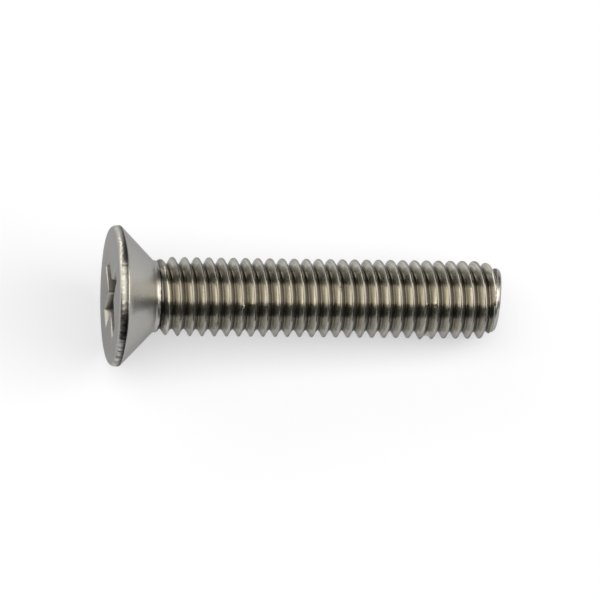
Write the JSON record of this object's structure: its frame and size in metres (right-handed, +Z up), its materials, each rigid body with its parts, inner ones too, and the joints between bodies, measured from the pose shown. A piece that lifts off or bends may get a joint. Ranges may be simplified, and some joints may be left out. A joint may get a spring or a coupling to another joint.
{
  "type": "countersunk machine screw",
  "caption": "Stainless steel machine screw with a flat countersunk head, a cross recess for a driver and a right-hand thread up to the neck; it clamps parts flush with a surface.",
  "frame": {"origin": "on the floor under the middle of the lying screw's bounding box", "axes": "+X along the floor from the head to the tip, +Z up; the screw's own axis leans down by 4.9 degrees from head to tip, because it lies on the rim of its head and on its thread"},
  "size_m": [0.041, 0.0142, 0.0141],
  "materials": {
    "steel": "bright cold-headed and thread-rolled A2 stainless steel, uncoated"
  },
  "bodies": {
    "root": {"screw": "steel"}
  },
  "joints": []
}
